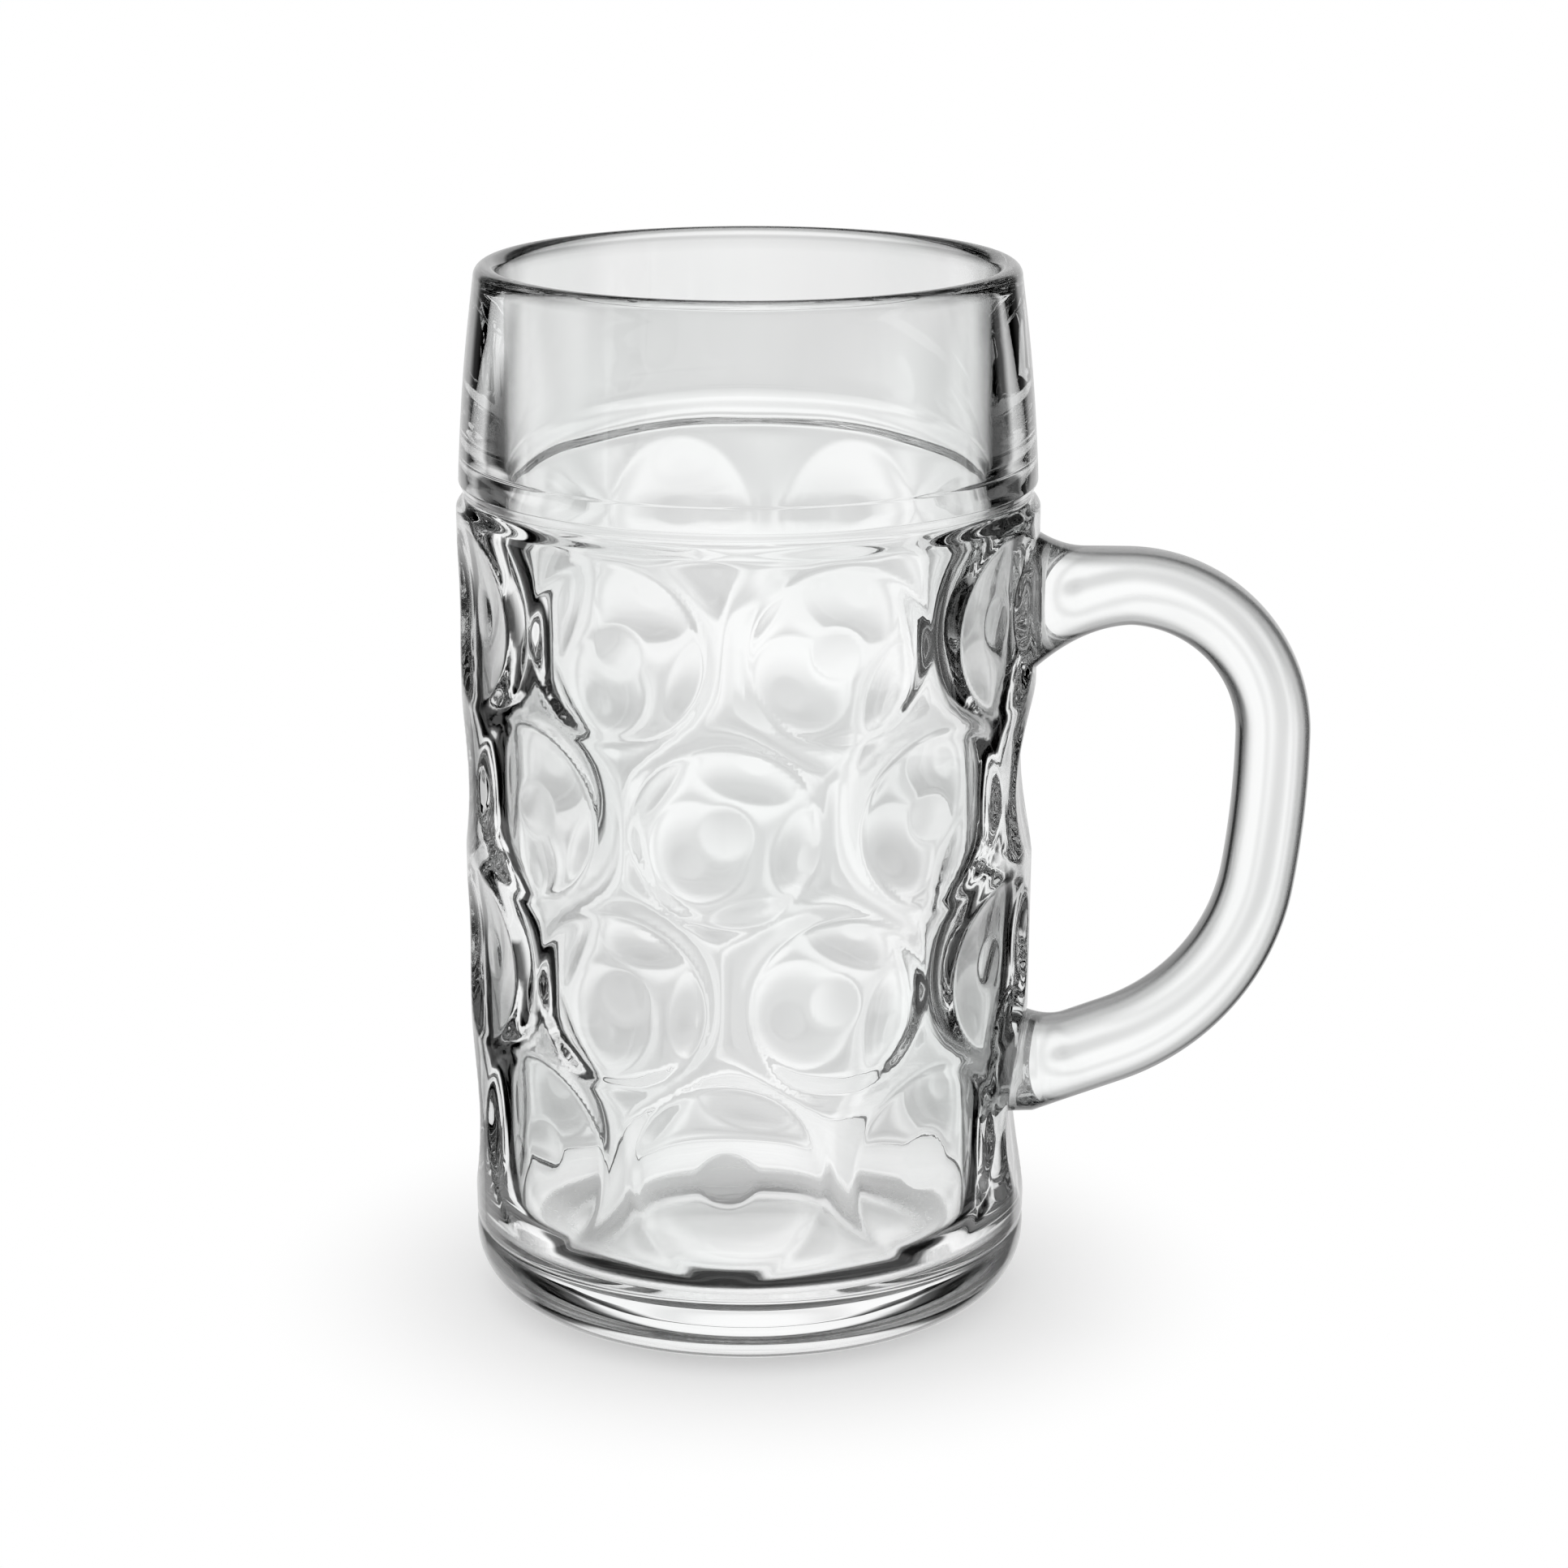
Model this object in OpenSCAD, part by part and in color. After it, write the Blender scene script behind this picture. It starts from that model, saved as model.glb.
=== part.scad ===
// Dimpled glass beer mug of one litre.
// A pressed and blown vessel with four staggered rows of round dimples, and a separate D-shaped
// handle that is stuck to its wall at an upper and a lower root.
// Frame: origin on the vessel's axis at the plane it rests on, +Z up, handle towards +X.

/* [Vessel] */
// Height over the rim
mug_h = 200; // [160:1:240]
// Diameter of the rim
rim_d = 102; // [96:0.5:104]
// Thickness of the rounded rim
rim_t = 4.6; // [3:0.1:6]
// Height of the plain band between the rim and the groove
band_h = 42.7; // [36:0.1:60]
// Diameter of the band just above the groove
band_d = 108.8; // [107:0.1:112]
// Diameter of the wall just below the groove
shoulder_d = 109.8; // [107:0.1:112]
// Diameter of the wall above the foot
foot_d = 106.7; // [104:0.1:112]
// Height of the foot
foot_h = 14.6; // [13:0.1:18]
// Radius of the rounded heel
heel_r = 12; // [8:0.1:13]
// Inside diameter at the lower end of the straight wall
bore_d = 91.4; // [88:0.1:93]
// Thickness of the wall beside the groove
groove_wall = 8.4; // [7:0.1:10]
// Thickness of the glass at the middle of the floor
floor_t = 14; // [10:0.1:20]
// Inside radius between the wall and the floor
floor_r = 20; // [10:0.1:24]

/* [Groove and foot line] */
// Depth of the groove under the band
groove_depth = 1.3; // [0.6:0.1:1.8]
// Width of the groove
groove_w = 5.6; // [4:0.1:7]
// Depth of the line pressed in above the foot
foot_line_depth = 0.35; // [0.2:0.05:0.6]
// Width of that line
foot_line_w = 1.6; // [1:0.1:2]

/* [Base] */
// Diameter of the hollow under the base
hollow_d = 68; // [50:1:76]
// Depth of that hollow
hollow_depth = 1.6; // [1:0.1:3]

/* [Dimples] */
// Number of dimples in a row
dimple_count = 8; // [6:1:8]
// Number of rows
row_count = 4; // [1:1:4]
// Height of the lowest row's centre
row_z = 38.2; // [37:0.1:42]
// Distance between the rows
row_pitch = 32.7; // [30:0.1:33]
// Height of a dimple's outline
dimple_h = 33; // [26:0.5:34]
// Height of an outline in the lowest row
low_dimple_h = 37; // [26:0.5:38]
// Depth of a dimple
dimple_depth = 3.5; // [3:0.1:4]
// Radius of a dimple's floor seen from above
dimple_sweep_r = 220; // [160:5:400]
// Thickness of the glass under a dimple
dimple_wall = 7.3; // [6:0.1:7.6]

/* [Handle] */
// Distance from the vessel's axis to the outermost point of the handle
handle_reach = 106.4; // [96:0.2:130]
// Height of the upper arm's top face
handle_top = 146.8; // [130:0.1:170]
// Thickness of the handle
handle_t = 14.1; // [10:0.1:16]
// Thickness of its lower arm
lower_arm_t = 15.3; // [12:0.1:18]
// Width of the handle across its side faces
handle_w = 20; // [14:0.5:24]
// Squareness of the section, where 2 is an ellipse
section_power = 2.4; // [2:0.1:4]
// Centreline radius of the upper bend
upper_bend_r = 28; // [20:0.5:32]
// Centreline radius of the outer side
side_bend_r = 180; // [120:5:240]
// Turn of the outer side, in degrees
side_turn = 9; // [4:1:16]
// Centreline radius of the lower bend
lower_bend_r = 43; // [34:0.5:50]
// Slope of the lower arm, in degrees
lower_slope = 21; // [5:1:30]

/* [Handle roots] */
// How far the upper root spreads down the wall
upper_root_down = 11; // [4:0.5:14]
// How far the upper root spreads up the wall
upper_root_up = 4.5; // [1:0.5:8]
// How far the lower root spreads up the wall
lower_root_up = 9; // [2:0.5:12]
// How far both roots spread sideways
root_side = 2.5; // [0:0.5:4]
// Length of the long spread along an arm
root_len = 20; // [10:1:24]
// Length of the short spread along an arm
short_root_len = 10; // [4:0.5:14]

/* [Hidden] */
$fn = 96;

glass_tint = [0.84, 0.89, 0.89];
// Overrun of a cut past the face that it opens
over = 1.2;
heel_steps = 8;
rim_steps = 6;
corner_steps = 8;

rim_round = rim_t / 2;
rim_mid_r = rim_d / 2 - rim_round;
foot_r = foot_d / 2;
bore_r = bore_d / 2;
shoulder_r = shoulder_d / 2;
groove_z = mug_h - band_h;
groove_mid_r = (band_d + shoulder_d) / 4;
shoulder_z = groove_z - groove_w / 2;
band_z = groove_z + groove_w / 2;
// The band leans in a little more towards the rim: height and inset of its middle point
band_mid_z = (band_z + mug_h) / 2;
band_bow_share = 0.06;
band_mid_r = (band_d + rim_d) / 4 + band_bow_share * (band_d - rim_d) / 2;

// Radius of a circle whose cap has the given depth over the given chord
function cap_r(chord, depth) = (chord * chord / 4 + depth * depth) / (2 * depth);
function mix(a, b, t) = a + (b - a) * t;
function arc(centre, r, from, to, steps) =
    [for (i = [0:steps]) let (a = mix(from, to, i / steps)) centre + r * [cos(a), sin(a)]];

// Half outlines of the wall, from the base up and from the rim down
outer_line = concat(
    arc([foot_r - heel_r, heel_r], heel_r, -90, 0, heel_steps),
    [[foot_r, foot_h], [shoulder_r, shoulder_z], [band_d / 2, band_z], [band_mid_r, band_mid_z]],
    arc([rim_mid_r, mug_h - rim_round], rim_round, 0, 90, rim_steps)
);
inner_line = concat(
    arc([rim_mid_r, mug_h - rim_round], rim_round, 90 + 90 / rim_steps, 180, rim_steps - 1),
    [[groove_mid_r - groove_wall, groove_z]],
    arc([bore_r - floor_r, floor_t + floor_r], floor_r, 0, -90, corner_steps),
    [[0, floor_t]]
);

function wall_r(z) = mix(foot_r, shoulder_r, (z - foot_h) / (shoulder_z - foot_h));
function row_height(row) = row_z + row * row_pitch;
function row_dimple_h(row) = row == 0 ? low_dimple_h : dimple_h;
function row_turn(row) = (row % 2 == 0 ? 0 : 0.5) * 360 / dimple_count;

// A lens-shaped block whose near face is a dimple's floor, or with grow the bulge behind it
dimple_block_angle = 2 * asin(wall_r(row_z) * sin(180 / dimple_count) / dimple_sweep_r);
module lens(near_r, height, thick, grow) {
    curve_r = cap_r(height, dimple_depth);
    translate([near_r + grow + dimple_sweep_r, 0, 0])
        rotate([0, 0, 180 - dimple_block_angle / 2])
            rotate_extrude(angle = dimple_block_angle)
                intersection() {
                    translate([dimple_sweep_r - curve_r, 0])
                        circle(r = curve_r + grow);
                    translate([dimple_sweep_r + grow - thick, -height])
                        square([thick, 2 * height]);
                }
}

module dimples() {
    for (row = [0:row_count - 1], i = [0:dimple_count - 1])
        rotate([0, 0, row_turn(row) + i * 360 / dimple_count])
            translate([0, 0, row_height(row)])
                lens(wall_r(row_height(row)) - dimple_depth, row_dimple_h(row), dimple_depth + over, 0);
}

module bulges() {
    for (row = [0:row_count - 1], i = [0:dimple_count - 1]) {
        near_r = wall_r(row_height(row)) - dimple_depth - dimple_wall;
        rotate([0, 0, row_turn(row) + i * 360 / dimple_count])
            translate([0, 0, row_height(row)])
                lens(near_r, row_dimple_h(row), bore_r - near_r + over, dimple_wall);
    }
}

groove_r = cap_r(groove_w, groove_depth);
foot_line_r = cap_r(foot_line_w, foot_line_depth);
module ring_cut(r, z, cut_r, depth) {
    rotate_extrude()
        translate([r - depth + cut_r, z])
            circle(r = cut_r);
}

// The outside of the vessel with no cavity
module outside() {
    difference() {
        rotate_extrude() polygon(concat([[0, 0]], outer_line, [[0, mug_h]]));
        dimples();
    }
}

module mug_body() {
    hollow_r = cap_r(hollow_d, hollow_depth);
    color(glass_tint)
        union() {
            difference() {
                rotate_extrude() polygon(concat([[0, 0]], outer_line, inner_line));
                dimples();
                ring_cut(groove_mid_r, groove_z, groove_r, groove_depth);
                ring_cut(foot_r, foot_h, foot_line_r, foot_line_depth);
                translate([0, 0, hollow_depth - hollow_r]) sphere(r = hollow_r);
            }
            bulges();
        }
}

// Handle centreline as [distance from the axis, height, heading], from the upper root round to the lower
section_sides = 24;
arm_steps = 8;
upper_steps = 9;
side_steps = 4;
lower_steps = 6;
root_r = bore_r + dimple_wall / 4;
arm_z = handle_top - handle_t / 2;
bend_x = handle_reach - handle_t / 2 - upper_bend_r;
upper_turn = 90;
side_z = arm_z - upper_bend_r;
side_x = handle_reach - handle_t / 2 - side_bend_r;
lower_turn = upper_turn - lower_slope - side_turn;
lower_x = side_x + (side_bend_r - lower_bend_r) * cos(side_turn);
lower_z = side_z - (side_bend_r - lower_bend_r) * sin(side_turn);
end_turn = side_turn + lower_turn;
end_x = lower_x + lower_bend_r * cos(end_turn);
end_z = lower_z - lower_bend_r * sin(end_turn);
root_drop = (end_x - root_r) * tan(lower_slope);
handle_line = concat(
    [for (i = [0:arm_steps - 1]) [mix(root_r, bend_x, i / arm_steps), arm_z, 0]],
    [for (i = [0:upper_steps - 1]) let (a = upper_turn * i / upper_steps)
        [bend_x + upper_bend_r * sin(a), side_z + upper_bend_r * cos(a), -a]],
    [for (i = [0:side_steps - 1]) let (a = side_turn * i / side_steps)
        [side_x + side_bend_r * cos(a), side_z - side_bend_r * sin(a), -upper_turn - a]],
    [for (i = [0:lower_steps - 1]) let (a = side_turn + lower_turn * i / lower_steps)
        [lower_x + lower_bend_r * cos(a), lower_z - lower_bend_r * sin(a), -upper_turn - a]],
    [for (i = [0:arm_steps]) let (t = i / arm_steps)
        [mix(end_x, root_r, t), end_z - root_drop * t, lower_slope - 180]]
);

// Spread of a root at a distance from the wall
function spread(size, x, len) = size * pow(max(0, 1 - (x - root_r) / (len + foot_r - root_r)), 2);
function power(v) = sign(v) * pow(abs(v), 2 / section_power);
function lower_share(p) = max(0, min(1, (-upper_turn - side_turn - p[2]) / lower_turn));
function ring(p) =
    let (
        low = p[2] < -upper_turn,
        out = low ? 0 : spread(upper_root_up, p[0], short_root_len),
        in = low ? spread(lower_root_up, p[0], short_root_len) : spread(upper_root_down, p[0], root_len),
        thick = mix(handle_t, lower_arm_t, lower_share(p)) + out + in,
        wide = handle_w + 2 * spread(root_side, p[0], short_root_len)
    )
    [for (j = [0:section_sides - 1]) let (
        a = 360 * j / section_sides,
        u = power(cos(a)) * thick / 2 + (out - in) / 2,
        v = power(sin(a)) * wide / 2
    ) [p[0] - u * sin(p[2]), v, p[1] + u * cos(p[2])]];

module handle_bar() {
    rings = [for (p = handle_line) ring(p)];
    last = len(rings) - 1;
    n = section_sides;
    polyhedron(
        points = [for (r = rings, q = r) q],
        faces = concat(
            [[for (j = [0:n - 1]) j]],
            [for (i = [0:last - 1], j = [0:n - 1])
                [i * n + j, (i + 1) * n + j, (i + 1) * n + (j + 1) % n, i * n + (j + 1) % n]],
            [[for (j = [n - 1:-1:0]) last * n + j]]
        )
    );
}

module handle() {
    color(glass_tint)
        difference() {
            handle_bar();
            outside();
        }
}

mug_body();
handle();
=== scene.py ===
"""A tall dimpled beer mug of clear glass: the looks of its two pieces, the vessel and the handle.

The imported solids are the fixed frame. Each piece of glass here takes the place of its solid, in the
same place and at the same size, with a finer surface than the solid has.
"""
import math

import bmesh
import bpy
import numpy as np
from mathutils import Matrix


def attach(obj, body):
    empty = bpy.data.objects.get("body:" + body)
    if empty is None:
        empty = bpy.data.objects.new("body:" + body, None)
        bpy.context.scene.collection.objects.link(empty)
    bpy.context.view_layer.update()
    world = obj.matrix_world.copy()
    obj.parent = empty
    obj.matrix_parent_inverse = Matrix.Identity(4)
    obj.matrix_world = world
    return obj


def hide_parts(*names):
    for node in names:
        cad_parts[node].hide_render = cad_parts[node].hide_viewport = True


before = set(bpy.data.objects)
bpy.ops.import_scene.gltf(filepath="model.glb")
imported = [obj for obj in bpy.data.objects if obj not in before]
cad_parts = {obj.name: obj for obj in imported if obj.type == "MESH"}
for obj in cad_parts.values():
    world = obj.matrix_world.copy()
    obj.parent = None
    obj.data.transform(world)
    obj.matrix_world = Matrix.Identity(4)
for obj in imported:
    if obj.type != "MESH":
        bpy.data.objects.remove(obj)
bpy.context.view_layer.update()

bl_info = {
    "name": "Dimpled Beer Mug",
    "version": (1, 0, 0),
    "blender": (4, 5, 0),
    "location": "View3D > Sidebar > Mug",
    "description": "Makes a dimpled glass beer mug and a pale stage for it",
    "category": "Object",
}

FULL_TURN = 2 * math.pi
QUARTER = math.pi / 2
MERGE = 1e-7       # metres: points that are nearer than this are one point
HAIR = 1e-6        # keeps comparisons, divisions and square roots clear of rounding


# ---------------------------------------------------------------- sizes a user would change

def length(name, default, about):
    """A length in metres, shown in the scene's own unit."""
    return bpy.props.FloatProperty(name=name, description=about, default=default, min=0.0,
                                   subtype="DISTANCE", unit="LENGTH", precision=5)


def share(name, default, about, top=1.0):
    """A plain share, from nothing to top."""
    return bpy.props.FloatProperty(name=name, description=about, default=default, min=0.0, max=top)


def count(name, default, about):
    """A whole number of segments or forms."""
    return bpy.props.IntProperty(name=name, description=about, default=default, min=3)


class VesselSizes(bpy.types.PropertyGroup):
    height: length("Height", 0.200, "From the resting ring to the top of the rim")
    rim_radius: length("Rim radius", 0.0510, "Outside radius just under the rim")
    rim_thick: length("Rim thickness", 0.0046, "Thickness of the rounded rim")
    band_radius: length("Band radius", 0.0544, "Outside radius of the plain band, at its foot")
    band_crown: length("Band crown", 0.00045, "How far the band bulges between its foot and the rim")
    shoulder_radius: length("Shoulder radius", 0.0549, "Outside radius above the top row of dimples")
    foot_radius: length("Foot radius", 0.05335, "Outside radius of the wall, at the foot")
    foot_height: length("Foot height", 0.0146, "Height of the fine line round the foot")
    heel_radius: length("Heel radius", 0.012, "Radius of the round between the wall and the base")
    groove_height: length("Groove height", 0.1573, "Height of the groove between band and dimples")
    groove_depth: length("Groove depth", 0.00125, "How deep the groove goes")
    groove_width: length("Groove width", 0.0058, "How wide the groove is")
    bore_radius: length("Bore radius", 0.0464, "Inside radius under the rim")
    bore_low_radius: length("Low bore radius", 0.0457, "Inside radius above the floor")
    bore_step: length("Bore step", 0.0002, "How far the bore steps in at the foot of the band")
    step_height: length("Step height", 0.1630, "Height of that step")
    step_tall: length("Step run", 0.0010, "How tall the step is")
    floor_thick: length("Floor thickness", 0.012, "Thickness of the glass at the middle of the base")
    floor_round: length("Floor round", 0.010, "Radius of the round between the inside wall and floor")
    hollow_radius: length("Hollow radius", 0.034, "Radius of the shallow hollow under the base")
    hollow_depth: length("Hollow depth", 0.0016, "Depth of the hollow at its middle")
    ring_middle: length("Ring middle", 0.0375, "Radius of the middle of the resting ring")
    dimple_count: count("Dimples in a row", 8, "How many dimples stand in one row")
    rows: bpy.props.FloatVectorProperty(name="Rows", size=4, default=(0.0378, 0.0712, 0.1039, 0.1366),
                                        description="Heights of the middles of the four rows", precision=5)
    dimple_width: length("Dimple width", 0.035, "Width of a dimple, measured round the wall")
    dimple_height: length("Dimple height", 0.033, "Height of a dimple")
    low_dimple_height: length("Low dimple height", 0.0373, "Height of a dimple in the lowest row")
    low_dimple_width: length("Low dimple width", 0.0364, "Width of a dimple in the lowest row")
    dimple_depth: length("Dimple depth", 0.0035, "How far a dimple goes into the wall")
    dimple_edge: share("Dimple edge", 0.03, "How soft the crest round a dimple is")
    bulge_width: length("Bulge width", 0.037, "Width of the swelling on the inside, behind a dimple")
    bulge_height: length("Bulge height", 0.035, "Height of the swelling on the inside")
    bulge_depth: length("Bulge depth", 0.0030, "How far the inside swells behind a dimple")
    bulge_edge: share("Bulge edge", 0.6, "How softly the swelling runs out")
    outer_steps: count("Outer steps", 384, "Segments round the outside")
    inner_steps: count("Inner steps", 192, "Segments round the inside")


class HandleSizes(bpy.types.PropertyGroup):
    reach: length("Reach", 0.1064, "From the mug's axis to the outside of the handle")
    top: length("Top", 0.1468, "Height of the top of the upper arm")
    upper_thick: length("Upper thickness", 0.0141, "Thickness of the upper arm and the grip")
    lower_thick: length("Lower thickness", 0.0153, "Thickness of the lower arm")
    width: length("Width", 0.020, "Width of the handle, across its plane")
    power: bpy.props.FloatProperty(name="Section power", default=2.4, min=2.0, max=8.0,
                                   description="Two is an ellipse; more makes the section squarer")
    upper_bend: length("Upper bend", 0.028, "Radius of the middle line at the upper bend")
    side_bend: length("Side bend", 0.180, "Radius of the middle line along the grip")
    lower_bend: length("Lower bend", 0.043, "Radius of the middle line at the lower bend")
    side_turn: bpy.props.FloatProperty(name="Grip turn", default=math.radians(9), subtype="ANGLE",
                                       description="How far the grip turns between its two bends")
    lower_slope: bpy.props.FloatProperty(name="Lower slope", default=math.radians(21), subtype="ANGLE",
                                         description="How steeply the lower arm runs to the wall")
    upper_root_down: length("Upper root, down", 0.011, "How far the upper root spreads down")
    upper_root_up: length("Upper root, up", 0.0045, "How far the upper root spreads up")
    lower_root_up: length("Lower root, up", 0.009, "How far the lower root spreads up")
    root_side: length("Root, sideways", 0.0025, "How far each root spreads to each side")
    root_run: length("Long root run", 0.020, "How far along the arm the upper root's lower spread runs")
    short_run: length("Short root run", 0.010, "How far along the arm the other spreads run")
    seat: length("Seat", 0.0004, "How far the handle's ends are sunk into the wall")
    section_steps: count("Section steps", 64, "Segments round the handle's section")


class GlassFinish(bpy.types.PropertyGroup):
    tint: bpy.props.FloatVectorProperty(name="Tint", subtype="COLOR", size=3, default=(0.995, 0.998, 0.997),
                                        min=0, max=1, description="Colour of the glass where it is palest")
    cast: bpy.props.FloatVectorProperty(name="Cast", subtype="COLOR", size=3, default=(0.972, 0.984, 0.980),
                                        min=0, max=1, description="Colour of its faint darker streaks")
    index: bpy.props.FloatProperty(name="Index", default=1.52, min=1.0, max=2.5,
                                   description="Index of refraction of the glass")
    waviness: length("Waviness", 0.00002, "Height of the slow waves that pressing leaves in the surface")
    wear: share("Wear", 0.38, "Roughness of the worn ring that the mug rests on")


# ---------------------------------------------------------------- small helpers

def piece_from(bm, name, material):
    """Closes bm into a smooth piece, with its doubles merged first and its faces turned outwards."""
    bmesh.ops.remove_doubles(bm, verts=bm.verts, dist=MERGE)
    bmesh.ops.recalc_face_normals(bm, faces=bm.faces)
    # the faces are stored by their first three corners, so that their order is always the same
    bm.verts.index_update()
    many = len(bm.verts)

    def stored_at(face):
        first, second, third = sorted(vert.index for vert in face.verts)[:3]
        return (first * many + second) * many + third

    bm.faces.sort(key=stored_at)
    mesh = bpy.data.meshes.new(name)
    bm.to_mesh(mesh)
    bm.free()
    mesh.polygons.foreach_set("use_smooth", np.ones(len(mesh.polygons), bool))
    mesh.materials.append(material)
    piece = bpy.data.objects.new(name, mesh)
    bpy.context.scene.collection.objects.link(piece)
    return piece


DOUBLINGS = 4      # how many times a turned part is doubled until it closes


def lathe(bm, line, steps):
    """Turns a line of (radius, height) points round the mug's axis: a part turn, doubled until it closes."""
    sector, part = bmesh.new(), FULL_TURN / 2 ** DOUBLINGS
    verts = [sector.verts.new((r, 0.0, z)) for r, z in line]
    edges = [sector.edges.new(pair) for pair in zip(verts, verts[1:])]
    bmesh.ops.spin(sector, geom=verts + edges, cent=(0, 0, 0), axis=(0, 0, 1), dvec=(0, 0, 0),
                   angle=part, steps=steps // 2 ** DOUBLINGS, use_merge=False, use_duplicate=False)
    for i in range(DOUBLINGS):
        copied = bmesh.ops.duplicate(sector, geom=sector.verts[:] + sector.edges[:] + sector.faces[:])
        fresh = [g for g in copied["geom"] if isinstance(g, bmesh.types.BMVert)]
        bmesh.ops.rotate(sector, verts=fresh, cent=(0, 0, 0), matrix=Matrix.Rotation(part * 2 ** i, 3, "Z"))
    bmesh.ops.remove_doubles(sector, verts=sector.verts, dist=MERGE)
    turned = bpy.data.meshes.new("turned")
    sector.to_mesh(turned)
    sector.free()
    bm.from_mesh(turned)
    bpy.data.meshes.remove(turned)


def arc(centre, radius, start, end, steps):
    """Points of an arc in the (radius, height) plane, between two angles in degrees."""
    turns = (math.radians(start + (end - start) * i / steps) for i in range(steps + 1))
    return [(centre[0] + radius * math.cos(t), centre[1] + radius * math.sin(t)) for t in turns]


def between(start, end, step):
    """Even heights from start to end, both left out, about one step apart."""
    parts = max(1, round(abs(end - start) / step))
    return [start + (end - start) * i / parts for i in range(1, parts)]


# ---------------------------------------------------------------- the vessel's shape

# Dimples and swellings: squared distance, in half widths, past which one isn't felt, the crispest
# crest, and the most that is raised to a power of e
FELT, CRISPEST, MOST_POWER = 4.84, 1e-3, 60
# Plain strips that the dimples leave above the foot line and under the groove, and how far the
# swellings inside run past the groove
ABOVE_FOOT, UNDER_GROOVE, PAST_GROOVE = 0.0009, 0.0031, 0.0007
# How much wider and taller a swelling of the lowest row is than the others
LOW_BULGE_WIDER, LOW_BULGE_TALLER = 1.04, 1.13
# The hollow under the base: radius, and share of its full depth there
HOLLOW_LINE = ((0.010, 0.95), (0.020, 0.75), (0.028, 0.38))
# The fine line round the foot: height from its middle, and depth there
FOOT_LINE = ((-0.0014, 0.0), (-0.0004, 0.00015), (0.0, 0.00035), (0.0004, 0.00015), (0.0008, 0.0))
# The groove: points to each side of its middle, share of it that is rounded, and share left plain below
GROOVE_POINTS, GROOVE_PART, GROOVE_CLEAR = 7, 0.9, 1.05
# Distances between the rings of points: on the wall, on the band, in the bore above and below the
# step, and on the step
WALL_GAP, BAND_GAP, UPPER_GAP, LOWER_GAP, STEP_GAP = 0.00101, 0.0021, 0.0025, 0.0023, 0.00025
# Points of the round heel, of the rim and of the round between inside wall and floor
HEEL_POINTS, RIM_POINTS, FLOOR_POINTS = 13, 14, 18
# Heights of the last rings that come over the rim, and of the first ring that runs on down the bore
OVER_RIM, JOINT_HEIGHT = (0.1955, 0.193, 0.190), 0.188
# Radii of the rings of points on the inside floor
FLOOR_RINGS = (0.018, 0.009, 0.0)
# A radius in the thickness of the wall, and how far from the bore the inside wall's points reach
IN_THE_WALL, BORE_REACH = 0.0508, 0.006


def dimple_field(around, height, sizes, width, low_width, tall, low_tall, edge):
    """How deep each place is, from 0 on the wall to 1 in the middle of a dimple."""
    deep = np.zeros_like(around)
    turn = FULL_TURN / sizes.dimple_count
    mean_radius = (sizes.foot_radius + sizes.shoulder_radius) / 2
    sharp = 2 / max(edge, CRISPEST)
    for row, middle in enumerate(sizes.rows):
        wide, high = (low_width, low_tall) if row == 0 else (width, tall)
        off = (around - turn / 2 * (row % 2) + turn / 2) % turn - turn / 2
        across = off * mean_radius * 2 / wide
        up = (height - middle) * 2 / high
        far = across ** 2 + up ** 2
        soft = np.log1p(np.exp(np.clip((1 - far) * sharp, -MOST_POWER, MOST_POWER))) / sharp
        deep = np.maximum(deep, np.where(far > FELT, 0, soft))
    return deep


def wall_radius(z, s):
    """Radius of the plain outer wall at a height up to the band, without dimples."""
    half = s.groove_width / 2
    heights = [0, s.foot_height, s.groove_height - half, s.groove_height + half]
    radii = [s.foot_radius, s.foot_radius, s.shoulder_radius, s.band_radius]
    return np.interp(z, heights, radii)


def outer_depth(around, z, s):
    """Depth in metres of the outer wall's dimples."""
    field = dimple_field(around, z, s, s.dimple_width, s.low_dimple_width, s.dimple_height,
                         s.low_dimple_height, s.dimple_edge)
    inside = (z > s.foot_height + ABOVE_FOOT) & (z < s.groove_height - UNDER_GROOVE)
    return np.where(inside, field * s.dimple_depth, 0.0)


def inner_depth(around, z, s):
    """Height in metres of the inner wall's swellings, behind the dimples."""
    field = dimple_field(around, z, s, s.bulge_width, s.bulge_width * LOW_BULGE_WIDER, s.bulge_height,
                         s.bulge_height * LOW_BULGE_TALLER, s.bulge_edge)
    inside = (z > s.floor_thick) & (z < s.groove_height + PAST_GROOVE)
    return np.where(inside, field * s.bulge_depth, 0.0)


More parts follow.
